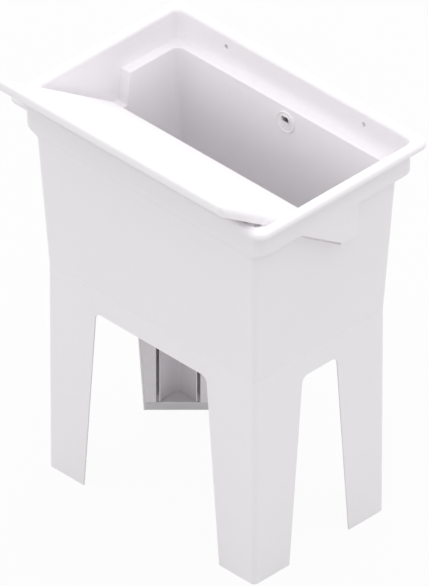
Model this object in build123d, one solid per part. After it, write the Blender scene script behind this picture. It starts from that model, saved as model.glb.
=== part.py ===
from build123d import *
from math import atan, cos
import os

# Utility laundry sink: a tub on a four-legged stand, with a washboard, a waste, an overflow and a trap.
# Modelled with X centred, Y = 0 at the stand's front face and Z = 0 at the floor, then moved as one so
# that the origin is the bottom centre of the whole.

# Stand
base_length = 550.0
base_depth = 347.0
corner_radius = 10.0
wall = 3.5
crease_height = 465.0
apron_depth = 48.0
opening_radius = 15.0
leg_width_floor = 94.0
leg_width_top = 128.0
leg_slot = 77.0
stand_flange = 24.0
foot_height = 18.0
foot_plate = 4.0
foot_gap = 0.2

# Tub, as offsets out from the stand's footprint
rim_height = 850.0
rim_offset = 60.0
front_trim = 12.0
rim_radius = 25.0
rim_thickness = 12.0
rim_edge_radius = 8.0
rim_skin = 5.0
collar_offset = 38.0
collar_radius = 21.0
collar_depth = 68.0
chamfer_offset = 28.0
chamfer_drop = 14.0
collar_foot_drop = 2.0
ledge_depth = 67.0
basin_flare = 16.5
basin_radius = 14.0
floor_rise = 13.0
floor_fall = 8.0
floor_wall = 4.0
floor_round = 10.0
drain_flat = 110.0
drain_from_back = 140.0
wall_hole_radius = 4.5
wall_hole_spacing = 363.0
wall_hole_depth = 28.0
wall_boss_radius = 9.0
wall_boss_gap = 2.0
inner_corner_extra = 2.0

# Washboard and its seats in the end walls
board_slope = 0.6614
board_end_gap = 11.0
board_front = -112.7
board_back = 195.0
board_thickness = 20.0
board_skin = 3.5
board_frame = 14.0
board_rib = 3.0
board_cells_long = 9
board_cells_deep = 4
board_edge_radius = 5.0
seat_below_rim = 11.1
shelf_depth = 133.5
step_foot = 222.0
step_top = 233.0
bulge_drop = 6.5
bulge_floor_drop = 10.0
bulge_back = 236.5
nib_size = 8.0
nib_width = 5.0
nib_rise = 6.0
nib_gap = 1.0
nib_y = (110.0, 160.0)

# Screws between tub and stand
screw_inset = 13.0
screw_long_offset = 180.0
screw_radius = 2.0
screw_head_radius = 4.2
screw_head_height = 2.6
screw_cross = 1.0
screw_grip = 8.0
boss_radius = 6.0
thread_bite = 0.05

# Waste
drain_hole_radius = 27.0
recess_radius = 44.5
recess_depth = 3.0
pad_radius = 50.0
pad_drop = 8.0
seal_thin = 1.0
seal_thick = 3.0
dish_flange_radius = 43.0
dish_sheet = 1.5
dish_well_radius = 23.0
dish_well_depth = 16.0
dish_hole_radius = 4.0
dish_hole_circle = 15.0
dish_hole_count = 8
plug_gap = 0.5
plug_flange_radius = 27.5
plug_depth = 11.0
plug_flange = 3.0
plug_neck_radius = 4.5
plug_grip_radius = 9.0
plug_grip_height = 6.0
plug_crown = 1.5
seal_inset = 3.0
waste_flange_radius = 42.0
waste_cup_radius = 25.5
waste_wall = 3.0
waste_bore_radius = 19.0
waste_arms = 3
waste_thread_radius = 23.5
web_drop = 13.0
web_thickness = 16.0
funnel_drop = 32.0
funnel_length = 9.0
tail_length = 52.0
hub_radius = 9.0
insert_radius = 5.0
insert_length = 10.0
waste_screw_radius = 3.0
waste_screw_head = 6.5

# Overflow
overflow_depth_below_rim = 100.0
overflow_hole_radius = 13.0
overflow_flange_radius = 21.0
overflow_collar_gap = 0.5
cover_radius = 22.5
cover_thickness = 3.0
cover_slot_length = 20.0
cover_slot_width = 12.0
cover_slot_rise = 6.5
cover_lip = 1.0
spigot_radius = 12.0
overflow_chamber_radius = 15.2
overflow_chamber_length = 34.0
pipe_radius = 12.5
pipe_wall = 2.0
pipe_stand_off = 26.0
pipe_bend = 30.0
branch_rise = 32.0
branch_reach = 45.0
socket_depth = 14.0
socket_gap = 0.2
small_thread_radius = 16.5
overflow_socket_length = 38.0

# Trap
dip_radius = 16.0
dip_wall = 2.0
dip_flange = 22.5
dip_length = 138.5
neck_gap = 26.0
neck_length = 14.0
neck_radius = 21.0
shoulder_drop = 9.0
bottle_radius = 34.0
bottle_wall = 3.5
bottle_length = 69.0
outlet_drop = 29.0
outlet_radius = 20.0
outlet_wall = 2.0
outlet_thread_radius = 25.0
outlet_reach = 56.0
outlet_stub = 53.0
outlet_clamp_radius = 19.6
outlet_clamp_length = 26.0
cup_radius = 38.0
cup_grip = 14.0
cup_depth = 44.0
cup_ribs = 12
cup_rib_height = 26.0
cup_wall = 3.0
cup_inset = 2.0
nut_wall = 4.0
nut_back = 10.0
nut_lip = 4.0
nut_seal = 4.0
nut_chamfer = 1.0
nut_clear = 1.0
seal_slack = 0.5
seal_tip = 1.5
nut_ribs = 12
rib_size = 3.0
washer = 2.5

# How far a cutting solid runs past the face it cuts
cut_over = 1.0

# Places worked out from the sizes above
half_length = base_length / 2
inner_offset = collar_offset - wall
opening_height = crease_height - apron_depth
collar_height = rim_height - collar_depth
chamfer_height = collar_height - chamfer_drop
collar_foot = chamfer_height - collar_foot_drop
ledge_height = rim_height - ledge_depth
floor_edge_height = crease_height + floor_rise
wall_hole_height = rim_height - wall_hole_depth
flare_rate = basin_flare / (collar_foot - crease_height)
seat_height_at_zero = rim_height - seat_below_rim
shelf_height = rim_height - shelf_depth
bulge_floor = shelf_height - bulge_floor_drop
board_length = base_length + 2 * (inner_offset - board_end_gap)
drain_y = base_depth - drain_from_back
flange_top = floor_edge_height - floor_fall - pad_drop - seal_thick
waste_web_top = flange_top - web_drop
waste_web_foot = waste_web_top - web_thickness
waste_funnel_top = flange_top - funnel_drop
waste_funnel_foot = waste_funnel_top - funnel_length
waste_tail_height = waste_funnel_foot - tail_length
branch_height = waste_tail_height + branch_rise
overflow_height = rim_height - overflow_depth_below_rim
overflow_mouth = overflow_height - overflow_socket_length
dip_foot = waste_tail_height - washer - dip_length
neck_mouth = waste_tail_height - neck_gap
neck_foot = neck_mouth - neck_length
shoulder_height = neck_foot - shoulder_drop
bottle_foot = shoulder_height - bottle_length
outlet_height = shoulder_height - outlet_drop
outlet_end = base_depth + outlet_stub
cup_top = bottle_foot + cup_grip
cup_foot = bottle_foot - cup_depth
origin_y = (board_front + base_depth + rim_offset) / 2


def flare(height):
    """Offset of the tapering wall's outside at a height."""
    return (height - crease_height) * flare_rate


def seat(y):
    """Height of the washboard's seat at a depth."""
    return seat_height_at_zero - board_slope * y


overflow_y = base_depth + flare(overflow_height) - wall
pipe_y = overflow_y + pipe_stand_off


def plan(offset, height, radius, trim=0.0):
    """Rounded rectangle outside the footprint by the offset, less the trim at the front."""
    size_x = base_length + 2 * offset
    size_y = base_depth + 2 * offset - trim
    return Pos(0, (base_depth + trim) / 2, height) * RectangleRounded(size_x, size_y, radius)


def rise(face, height):
    return extrude(face, amount=height, dir=(0, 0, 1))


def side_prism(points, x_from, x_to):
    """Prism along X over (y, z) corner points."""
    face = make_face(Plane.YZ * Polyline(*points, close=True))
    return Pos(x_from, 0, 0) * extrude(face, amount=x_to - x_from, dir=(1, 0, 0))


def turned(*profile):
    """Solid of revolution about Z over (radius, height) corner points."""
    return revolve(make_face(Plane.XZ * Polyline(*profile, close=True)), Axis.Z)


def ring(inner, outer, foot, top):
    return turned((inner, foot), (outer, foot), (outer, top), (inner, top))


def floor_drop(inset, top, lower):
    """Shallow inverted pyramid from near the basin walls to the flat round the drain."""
    edge = Pos(0, base_depth / 2, top) * Rectangle(base_length - 2 * inset, base_depth - 2 * inset)
    flat = Pos(0, drain_y, top - lower) * Rectangle(drain_flat, drain_flat)
    return loft([edge, flat], ruled=True)


def both_ends(solid):
    return [solid, mirror(solid, Plane.YZ)]


screw_x = half_length - screw_inset
screw_back = base_depth - screw_inset
screw_columns = (-screw_long_offset, 0.0, screw_long_offset)
screw_points = [(x, y) for y in (screw_inset, screw_back) for x in screw_columns]
screw_points += [(-screw_x, base_depth / 2), (screw_x, base_depth / 2)]


def make_tub():
    flange = rise(plan(rim_offset, rim_height - rim_thickness, rim_radius, front_trim), rim_thickness)
    flange = fillet(flange.edges().group_by(Axis.Z)[-1], rim_edge_radius)
    groove = rise(plan(rim_offset - wall, rim_height - rim_thickness, rim_radius - wall, front_trim),
                  rim_thickness - rim_skin)
    groove -= rise(plan(collar_offset + wall, rim_height - rim_thickness, collar_radius + wall, front_trim),
                   rim_thickness - rim_skin)
    collar = rise(plan(collar_offset, collar_height, collar_radius, front_trim),
                  rim_height - rim_skin - collar_height)
    chamfer = loft([plan(collar_offset, collar_height, collar_radius, front_trim),
                    plan(chamfer_offset, chamfer_height, basin_radius, front_trim)], ruled=True)
    foot = rise(plan(chamfer_offset, collar_foot, basin_radius, front_trim), chamfer_height - collar_foot)
    basin = loft([plan(0, crease_height, corner_radius),
                  plan(flare(ledge_height), ledge_height, basin_radius)], ruled=True)
    tub = flange - groove + collar + chamfer + foot + basin

    bulge_start = (seat_height_at_zero - bulge_drop - collar_height) / board_slope
    bulge_turn = (seat_height_at_zero - bulge_drop - bulge_floor) / board_slope
    bulge = side_prism([(bulge_start, collar_height), (bulge_turn, bulge_floor), (bulge_back, bulge_floor),
                        (bulge_back, ledge_height), (bulge_start, ledge_height)],
                       half_length, half_length + collar_offset)
    for solid in both_ends(bulge):
        tub += solid

    # Upper well with the two sloping seats left standing on the ledge
    well = rise(plan(inner_offset, ledge_height, collar_radius - wall, front_trim),
                rim_height - ledge_height + cut_over)
    seat_front = front_trim - inner_offset
    seat_start = (seat_height_at_zero - ledge_height) / board_slope
    ledge_inner = half_length + flare(ledge_height) - wall
    ramp_foot = ledge_height - cut_over
    ramp = side_prism([(seat_front - wall, ramp_foot), (seat_front - wall, seat(seat_front - wall)),
                       (seat_start, ledge_height), (seat_start, ramp_foot)],
                      ledge_inner, half_length + collar_offset)
    for solid in both_ends(ramp):
        well -= solid
    shelf_start = (seat_height_at_zero - shelf_height) / board_slope
    above_ledge = ledge_height + cut_over
    pocket = side_prism([(seat_start, ledge_height), (shelf_start, shelf_height), (step_foot, shelf_height),
                         (step_top, ledge_height), (step_top, above_ledge), (seat_start, above_ledge)],
                        half_length - wall, half_length + inner_offset)
    floor_corner = corner_radius + inner_corner_extra
    ledge_corner = basin_radius + inner_corner_extra
    inside = loft([plan(flare(floor_edge_height) - wall, floor_edge_height, floor_corner),
                   plan(flare(above_ledge) - wall, above_ledge, ledge_corner)], ruled=True)
    inside = fillet(inside.edges().group_by(Axis.Z)[0], floor_round)
    tub -= well
    tub -= inside
    for solid in both_ends(pocket):
        tub -= solid
    tub -= floor_drop(floor_round + 2 * wall, floor_edge_height, floor_fall)

    # Underside: the walls run down to the stand, and the floor hangs between them
    under_top = floor_edge_height - floor_wall
    under_foot = crease_height - cut_over
    under = rise(plan(-wall, under_foot, corner_radius - wall), under_top - under_foot)
    under -= floor_drop(floor_round + 2 * wall - floor_wall, under_top, floor_fall)
    for x, y in screw_points:
        under -= Pos(x, y, 0) * ring(0, boss_radius, under_foot, under_top)
    pad_foot = floor_edge_height - floor_fall - pad_drop
    under -= Pos(0, drain_y, 0) * ring(0, pad_radius, pad_foot, under_top)
    tub -= under
    pad = ring(drain_hole_radius, pad_radius, pad_foot, floor_edge_height - floor_fall - recess_depth)
    tub += Pos(0, drain_y, 0) * pad
    tub -= Pos(0, drain_y, 0) * ring(0, recess_radius, floor_edge_height - floor_fall - recess_depth,
                                     floor_edge_height)
    tub -= Pos(0, drain_y, 0) * ring(0, drain_hole_radius, pad_foot, floor_edge_height)
    for x, y in screw_points:
        tub -= Pos(x, y, 0) * ring(0, screw_radius - thread_bite, crease_height, crease_height + screw_grip)

    # Locating nibs on the seats
    nib_x = half_length + flare(ledge_height) - wall
    for y in nib_y:
        nib = side_prism([(y - nib_size / 2, seat(y) - nib_size), (y - nib_size / 2, seat(y) + nib_rise),
                          (y + nib_size / 2, seat(y) + nib_rise), (y + nib_size / 2, seat(y) - nib_size)],
                         nib_x, nib_x + nib_width)
        for solid in both_ends(nib):
            tub += solid

    # Spacer bosses and holes for the wall fixings, and the hole for the overflow
    for x in (-wall_hole_spacing / 2, wall_hole_spacing / 2):
        place = Pos(x, base_depth, wall_hole_height) * Rot(-90, 0, 0)
        tub += place * ring(0, wall_boss_radius, collar_offset - wall / 2, rim_offset - wall_boss_gap)
        tub -= place * ring(0, wall_hole_radius, 0, rim_offset)
    tub -= overflow_place * ring(0, overflow_hole_radius, -2 * wall, wall)
    return tub


def make_stand():
    stand = rise(plan(0, 0, corner_radius), crease_height)
    stand -= rise(plan(-wall, 0, corner_radius - wall), crease_height - wall)
    stand -= rise(plan(-stand_flange, crease_height - wall, corner_radius), wall)
    for x, y in screw_points:
        stand -= Pos(x, y, 0) * ring(0, screw_radius + 4 * thread_bite, crease_height - wall, crease_height)
    for length, turn, centre in ((base_length, 0, base_depth / 2), (base_depth, 90, base_depth / 2)):
        foot = length / 2 - leg_width_floor
        head = length / 2 - leg_width_top
        outline = make_face(Polyline((-foot, 0), (foot, 0), (head, opening_height), (-head, opening_height),
                                     close=True))
        outline = fillet(outline.vertices().group_by(Axis.Y)[-1], opening_radius)
        arch = extrude(Plane.XZ * outline, amount=base_length, both=True)
        stand -= Pos(0, centre, 0) * Rot(0, 0, turn) * arch
    hull = rise(plan(-wall / 2, 0, corner_radius), crease_height - wall)
    for x_side in (-1, 1):
        for y_side in (-1, 1):
            web = leg_slab(x_side, y_side, foot_height, crease_height - wall, 0) & hull
            stand += web - leg_slot_box(x_side, y_side)
    return stand


def leg_frame(x_side, y_side):
    """Corner of the footprint, with local X pointing along the diagonal into the stand."""
    corner_y = base_depth / 2 + y_side * base_depth / 2
    turn = {(-1, -1): 45, (1, -1): 135, (1, 1): 225, (-1, 1): 315}[(x_side, y_side)]
    return Pos(x_side * half_length, corner_y, 0) * Rot(0, 0, turn)


def leg_slab(x_side, y_side, foot, top, depth):
    """Upright slab across a leg in the plane of its two free edges, or all behind it for a depth."""
    rate = (leg_width_top - leg_width_floor) / opening_height
    near = (leg_width_floor + rate * foot) / 2 ** 0.5
    far = (leg_width_floor + rate * top) / 2 ** 0.5
    back = depth if depth else wall
    profile = make_face(Plane.XZ * Polyline((near - back, foot), (near, foot), (far, top), (far - back, top),
                                            close=True))
    return leg_frame(x_side, y_side) * extrude(profile, amount=2 * leg_width_top, both=True)


def leg_slot_box(x_side, y_side):
    slot = Box(2 * leg_width_top, leg_slot, crease_height, align=(Align.MIN, Align.CENTER, Align.MIN))
    return leg_frame(x_side, y_side) * slot


def make_foot(x_side, y_side):
    inside = rise(plan(-wall - foot_gap, 0, corner_radius - wall), foot_height)
    lip = leg_slab(x_side, y_side, 0, foot_height, 0) & inside
    plate = leg_slab(x_side, y_side, 0, foot_plate, leg_width_floor) & inside
    return lip + plate


def make_board():
    top = seat_height_at_zero + board_thickness * (1 + board_slope ** 2) ** 0.5
    drop = board_thickness / (1 + board_slope ** 2) ** 0.5
    low_y = board_back - drop * board_slope
    half = board_length / 2
    board = side_prism([(board_front, seat(board_front)), (board_front, top - board_slope * board_front),
                        (board_back, top - board_slope * board_back), (low_y, seat(low_y))], -half, half)
    upper = board.edges().filter_by(Axis.X).sort_by(Axis.Z)
    ends = board.edges().filter_by(lambda edge: abs(edge.tangent_at(0.5).X) < 0.5)
    board = fillet([upper[-1], upper[1]] + list(ends), board_edge_radius)

    plane = Plane(origin=(0, low_y, seat(low_y)), x_dir=(1, 0, 0),
                  z_dir=(0, board_slope, 1))
    slant = (low_y - board_front) * (1 + board_slope ** 2) ** 0.5
    cell_x = (board_length - 2 * board_frame - (board_cells_long - 1) * board_rib) / board_cells_long
    cell_y = (slant - 2 * board_frame - (board_cells_deep - 1) * board_rib) / board_cells_deep
    for column in range(board_cells_long):
        for row in range(board_cells_deep):
            x = -half + board_frame + cell_x / 2 + column * (cell_x + board_rib)
            y = -board_frame - cell_y / 2 - row * (cell_y + board_rib)
            cell = Box(cell_x, cell_y, board_thickness - board_skin,
                       align=(Align.CENTER, Align.CENTER, Align.MIN))
            board -= plane.location * Pos(x, y, 0) * cell
    nib_x = half_length + flare(ledge_height) - wall
    reach = nib_size / 2 + nib_gap
    for y in nib_y:
        socket = side_prism([(y - reach, seat(y) - nib_size), (y - reach, seat(y) + nib_rise + nib_gap),
                             (y + reach, seat(y) + nib_rise + nib_gap), (y + reach, seat(y) - nib_size)],
                            nib_x - nib_gap, nib_x + nib_width + nib_gap)
        for solid in both_ends(socket):
            board -= solid
    return board


def make_screws():
    head = ring(0, screw_head_radius, crease_height - wall - screw_head_height, crease_height - wall)
    shank = ring(0, screw_radius, crease_height - wall, crease_height)
    thread = ring(0, screw_radius - 2 * thread_bite, crease_height, crease_height + screw_grip)
    cross = Box(screw_head_radius, screw_cross, screw_cross, align=(Align.CENTER, Align.CENTER, Align.MIN))
    cross += Rot(0, 0, 90) * cross
    screw = head + shank + thread
    screw -= Pos(0, 0, crease_height - wall - screw_head_height) * cross
    return Compound([Pos(x, y, 0) * screw for x, y in screw_points])


def make_dish():
    foot = dish_top - dish_well_depth - dish_sheet
    well = dish_well_radius + dish_sheet
    dish = turned((0, foot), (well, foot), (well, dish_top - dish_sheet),
                  (dish_flange_radius, dish_top - dish_sheet), (dish_flange_radius, dish_top),
                  (dish_well_radius, dish_top), (dish_well_radius, foot + dish_sheet), (0, foot + dish_sheet))
    dish -= ring(0, waste_screw_radius + socket_gap, foot, foot + dish_sheet)
    for hole in PolarLocations(dish_hole_circle, dish_hole_count):
        dish -= hole * ring(0, dish_hole_radius, foot, foot + dish_sheet)
    return at_drain * dish


def make_plug():
    body = dish_well_radius - plug_gap
    top = dish_top + plug_flange
    grip_top = top + plug_flange + plug_grip_height
    plug = turned((0, dish_top - plug_depth), (body - 2 * plug_gap, dish_top - plug_depth), (body, dish_top),
                  (plug_flange_radius, dish_top), (plug_flange_radius, dish_top + plug_flange / 2),
                  (plug_flange_radius - plug_flange / 2, top), (plug_neck_radius, top),
                  (plug_neck_radius, top + plug_flange), (plug_grip_radius, top + 2 * plug_flange),
                  (plug_grip_radius, grip_top), (0, grip_top + plug_crown))
    return at_drain * plug


def make_waste_body():
    cup = waste_cup_radius + waste_wall
    body = turned((waste_cup_radius, flange_top), (waste_flange_radius, flange_top),
                  (waste_flange_radius, flange_top - waste_wall), (cup, flange_top - waste_wall),
                  (cup, waste_funnel_top), (waste_thread_radius, waste_funnel_foot),
                  (waste_thread_radius, waste_tail_height), (waste_bore_radius, waste_tail_height),
                  (waste_bore_radius, waste_funnel_foot), (waste_cup_radius, waste_funnel_top))
    hub = ring(0, hub_radius, waste_web_foot, waste_web_top)
    arm = Box(2 * waste_cup_radius + waste_wall, waste_wall, waste_web_top - waste_web_foot,
              align=(Align.CENTER, Align.CENTER, Align.MIN))
    for turn in range(waste_arms):
        hub += Rot(0, 0, turn * 180 / waste_arms) * Pos(0, 0, waste_web_foot) * arm
    hub -= ring(0, insert_radius, waste_web_top - insert_length, waste_web_top)
    hub -= ring(0, waste_screw_radius + socket_gap, waste_web_foot, waste_web_top)
    body += hub
    bore = pipe_radius - pipe_wall
    mouth = Pos(0, 0, branch_height) * Rot(-90, 0, 0)
    body += mouth * ring(0, small_thread_radius, waste_bore_radius, branch_reach)
    body -= mouth * ring(0, bore, 0, branch_reach)
    body -= ring(0, waste_bore_radius, waste_tail_height, waste_funnel_foot)
    body -= mouth * ring(0, pipe_radius + socket_gap, branch_reach - socket_depth, branch_reach)
    return at_drain * body


def below_collar(solid):
    """Trims what stands behind the back wall to clear the foot of the collar."""
    above = Box(base_length, 4 * rim_offset, rim_height, align=(Align.CENTER, Align.CENTER, Align.MIN))
    return solid - Pos(0, base_depth, collar_foot - overflow_collar_gap) * above


def make_overflow_body():
    back = -2 * wall - overflow_chamber_length
    face = -wall_thick - seal_thick
    body = below_collar(overflow_place * ring(0, overflow_flange_radius, face - waste_wall, face))
    body += overflow_place * ring(0, overflow_chamber_radius, back, face)
    socket = Pos(0, pipe_y, 0)
    body += socket * ring(0, small_thread_radius, overflow_mouth, overflow_height)
    body -= overflow_place * ring(0, overflow_chamber_radius - waste_wall, back + waste_wall, face)
    body -= socket * ring(0, pipe_radius - pipe_wall, overflow_mouth, overflow_height)
    body -= socket * ring(0, pipe_radius + socket_gap, overflow_mouth, overflow_mouth + socket_depth)
    return body


def make_cover():
    cover = turned((0, 0), (cover_radius, 0), (cover_radius, cover_thickness / 2),
                   (cover_radius - cover_thickness / 2, cover_thickness), (0, cover_thickness))
    cover += ring(spigot_radius - dish_sheet, spigot_radius, -wall_thick - seal_thick - waste_wall, 0)
    slot = SlotOverall(cover_slot_length, cover_slot_width)
    rim = SlotOverall(cover_slot_length + cover_thickness, cover_slot_width + cover_thickness)
    cover += Pos(0, cover_slot_rise, 0) * rise(rim, cover_thickness + cover_lip)
    cover -= Pos(0, cover_slot_rise, 0) * rise(slot, cover_thickness + cover_lip)
    return overflow_place * cover


def make_overflow_pipe():
    top = overflow_mouth + socket_depth
    path = FilletPolyline((0, pipe_y, top), (0, pipe_y, branch_height),
                          (0, drain_y + branch_reach - socket_depth, branch_height), radius=pipe_bend)
    section = Pos(0, pipe_y, top) * (Circle(pipe_radius) - Circle(pipe_radius - pipe_wall))
    return sweep(section, path)


def nut(thread, hole, lip):
    """Ribbed union nut, with the mouth it screws on at height 0 and its lip beyond."""
    outer = thread + nut_wall
    mouth = thread + thread_bite
    top = lip + nut_lip
    shape = turned((mouth, -nut_back), (outer, -nut_back), (outer, top - nut_chamfer),
                   (outer - nut_chamfer, top), (hole, top), (hole, lip), (mouth, lip))
    rib = Pos(outer, 0, -nut_back) * Box(rib_size, rib_size, lip + nut_back,
                                         align=(Align.CENTER, Align.CENTER, Align.MIN))
    for place in PolarLocations(0, nut_ribs):
        shape += place * rib
    return shape


def seal(pipe, thread):
    return turned((pipe, 0), (thread - seal_slack, 0), (pipe + seal_tip, nut_seal), (pipe, nut_seal))


def make_trap_body():
    bore = dip_radius + socket_gap
    body = turned((bore, neck_mouth), (neck_radius, neck_mouth), (neck_radius, neck_foot),
                  (bottle_radius, shoulder_height), (bottle_radius, bottle_foot),
                  (bottle_radius - bottle_wall, bottle_foot),
                  (bottle_radius - bottle_wall, shoulder_height - bottle_wall), (bore, neck_foot - bottle_wall))
    mouth = Pos(0, 0, outlet_height) * Rot(-90, 0, 0)
    inner = outlet_radius - outlet_wall
    body += mouth * ring(inner, outlet_thread_radius, bottle_radius - bottle_wall, outlet_reach)
    body -= mouth * ring(0, inner, bottle_radius / 2, outlet_reach)
    body -= mouth * ring(0, outlet_radius + socket_gap, outlet_reach - socket_depth, outlet_reach)
    return at_drain * body


def make_outlet_pipe():
    start = drain_y + outlet_reach - socket_depth
    free = start + outlet_clamp_length
    inner = outlet_radius - outlet_wall
    pipe = ring(inner, outlet_clamp_radius, start, free) + ring(inner, outlet_radius, free, outlet_end)
    return Pos(0, 0, outlet_height) * Rot(-90, 0, 0) * pipe


def make_cup():
    bore = bottle_radius - bottle_wall
    inner = bore - cup_inset
    outer = inner + cup_wall
    turn_height = cup_foot + 2 * bottle_wall
    step = bottle_foot - seal_thick
    thread = bottle_radius + thread_bite
    cup = turned((0, cup_foot), (bore - bottle_wall, cup_foot), (outer, turn_height),
                 (outer, step - bottle_wall), (cup_radius, step), (cup_radius, cup_top), (thread, cup_top),
                 (thread, step), (inner, step), (inner, turn_height),
                 (bore - 2 * bottle_wall, cup_foot + bottle_wall), (0, cup_foot + bottle_wall))
    rib = Pos(bore, 0, turn_height) * Box(2 * rib_size, rib_size, cup_rib_height,
                                          align=(Align.CENTER, Align.CENTER, Align.MIN))
    for place in PolarLocations(0, cup_ribs):
        cup += place * rib
    return at_drain * (cup - ring(0, inner, turn_height, step))


at_drain = Pos(0, drain_y, 0)
dish_top = floor_edge_height - floor_fall - recess_depth + seal_thin + dish_sheet
wall_thick = wall * cos(atan(flare_rate))
overflow_place = Plane(origin=(0, overflow_y, overflow_height), x_dir=(1, 0, 0),
                       z_dir=(0, -1, flare_rate)).location
branch_mouth = at_drain * Pos(0, branch_reach, branch_height) * Rot(-90, 0, 0)
overflow_socket = Pos(0, pipe_y, overflow_mouth) * Rot(180, 0, 0)
tail_mouth = at_drain * Pos(0, 0, waste_tail_height) * Rot(180, 0, 0)
neck_place = at_drain * Pos(0, 0, neck_mouth)
outlet_place = at_drain * Pos(0, outlet_reach, outlet_height) * Rot(-90, 0, 0)
recess_foot = floor_edge_height - floor_fall - recess_depth

parts = {
    "tub": make_tub(),
    "stand": make_stand(),
    "foot_front_left": make_foot(-1, -1),
    "foot_front_right": make_foot(1, -1),
    "foot_back_left": make_foot(-1, 1),
    "foot_back_right": make_foot(1, 1),
    "washboard": make_board(),
    "stand_screws": make_screws(),
    "strainer_dish": make_dish(),
    "strainer_seal": at_drain * ring(drain_hole_radius + seal_inset, dish_flange_radius, recess_foot,
                                     recess_foot + seal_thin),
    "waste_seal": at_drain * ring(drain_hole_radius, waste_flange_radius, flange_top, flange_top + seal_thick),
    "waste_body": make_waste_body(),
    "waste_nut": at_drain * ring(waste_screw_radius, insert_radius, waste_web_top - insert_length,
                                 waste_web_top),
    "waste_screw": at_drain * (
        ring(0, waste_screw_head, dish_top - dish_well_depth, dish_top - dish_well_depth + dish_sheet * 2)
        + ring(0, waste_screw_radius, waste_web_foot, dish_top - dish_well_depth)
        - Pos(0, 0, dish_top - dish_well_depth + dish_sheet) * Box(
            2 * waste_screw_head, dish_sheet, dish_sheet, align=(Align.CENTER, Align.CENTER, Align.MIN))),
    "drain_plug": make_plug(),
    "overflow_cover": make_cover(),
    "overflow_seal": below_collar(overflow_place * ring(
        overflow_hole_radius, overflow_flange_radius, -wall_thick - seal_thick, -wall_thick)),
    "overflow_body": make_overflow_body(),
    "overflow_pipe": make_overflow_pipe(),
    "overflow_top_nut": overflow_socket * nut(small_thread_radius, pipe_radius + socket_gap, nut_seal),
    "overflow_top_seal": overflow_socket * seal(pipe_radius, small_thread_radius),
    "overflow_bottom_nut": branch_mouth * nut(small_thread_radius, pipe_radius + socket_gap, nut_seal),
    "overflow_bottom_seal": branch_mouth * seal(pipe_radius, small_thread_radius),
    "trap_inlet_nut": tail_mouth * nut(waste_thread_radius, dip_radius + nut_clear, 2 * washer),
    "trap_inlet_washer": tail_mouth * ring(dip_radius, dip_flange, 0, washer),
    "trap_inlet_pipe": at_drain * (
        ring(dip_radius - dip_wall, dip_radius, dip_foot, waste_tail_height - washer)
        + ring(dip_radius - dip_wall, dip_flange, waste_tail_height - 2 * washer, waste_tail_height - washer)),
    "trap_gland_nut": neck_place * nut(neck_radius, dip_radius + socket_gap, nut_seal),
    "trap_gland_seal": neck_place * seal(dip_radius, neck_radius),
    "trap_body": make_trap_body(),
    "trap_cup": make_cup(),
    "trap_cup_seal": at_drain * ring(bottle_radius - bottle_wall, bottle_radius, bottle_foot - seal_thick,
                                     bottle_foot),
    "trap_outlet_nut": outlet_place * nut(outlet_thread_radius, outlet_radius + socket_gap, nut_seal),
    "trap_outlet_seal": outlet_place * seal(outlet_clamp_radius, outlet_thread_radius),
    "trap_outlet_pipe": make_outlet_pipe(),
}

os.makedirs("parts", exist_ok=True)
for name, shape in parts.items():
    export_step(Pos(0, -origin_y, 0) * shape, f"parts/{name}.step")
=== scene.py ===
import bpy
import bmesh
import math
from mathutils import Matrix, Vector


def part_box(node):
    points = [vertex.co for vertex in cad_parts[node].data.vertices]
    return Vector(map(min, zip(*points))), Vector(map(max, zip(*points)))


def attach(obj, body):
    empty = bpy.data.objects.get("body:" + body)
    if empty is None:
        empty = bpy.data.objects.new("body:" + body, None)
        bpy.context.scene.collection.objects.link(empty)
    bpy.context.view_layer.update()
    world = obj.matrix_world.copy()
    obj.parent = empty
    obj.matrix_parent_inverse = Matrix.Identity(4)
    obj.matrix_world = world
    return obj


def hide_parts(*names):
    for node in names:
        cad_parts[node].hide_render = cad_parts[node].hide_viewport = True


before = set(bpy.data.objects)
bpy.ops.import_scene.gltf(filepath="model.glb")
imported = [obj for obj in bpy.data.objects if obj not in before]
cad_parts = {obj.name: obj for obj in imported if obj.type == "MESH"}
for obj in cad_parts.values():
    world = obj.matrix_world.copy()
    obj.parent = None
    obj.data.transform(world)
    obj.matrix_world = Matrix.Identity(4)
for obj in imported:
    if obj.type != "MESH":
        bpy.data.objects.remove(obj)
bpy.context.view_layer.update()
print("frame loaded")


class Wire:
    # a socket whose sums and products add Math nodes
    def __init__(self, sheet, socket):
        self.sheet = sheet
        self.socket = socket

    def math(self, operation, *others):
        inputs = {0: self}
        for place, other in enumerate(others, 1):
            inputs[place] = other
        return self.sheet.node("ShaderNodeMath", {"operation": operation}, inputs)[0]

    def __add__(self, other):
        return self.math("ADD", other)

    def __radd__(self, other):
        return self.math("ADD", other)

    def __sub__(self, other):
        return self.math("SUBTRACT", other)

    def __rsub__(self, other):
        return self.sheet.node("ShaderNodeMath", {"operation": "SUBTRACT"}, {0: other, 1: self})[0]

    def __mul__(self, other):
        return self.math("MULTIPLY", other)

    def __rmul__(self, other):
        return self.math("MULTIPLY", other)

    def __pow__(self, other):
        return self.math("POWER", other)

    def clamp(self, low=0.0, high=1.0):
        return self.math("MAXIMUM", low).math("MINIMUM", high)

    def between(self, low, high):
        # 0 below low, 1 above high
        return ((self - low) * (1 / (high - low))).clamp()


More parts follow.
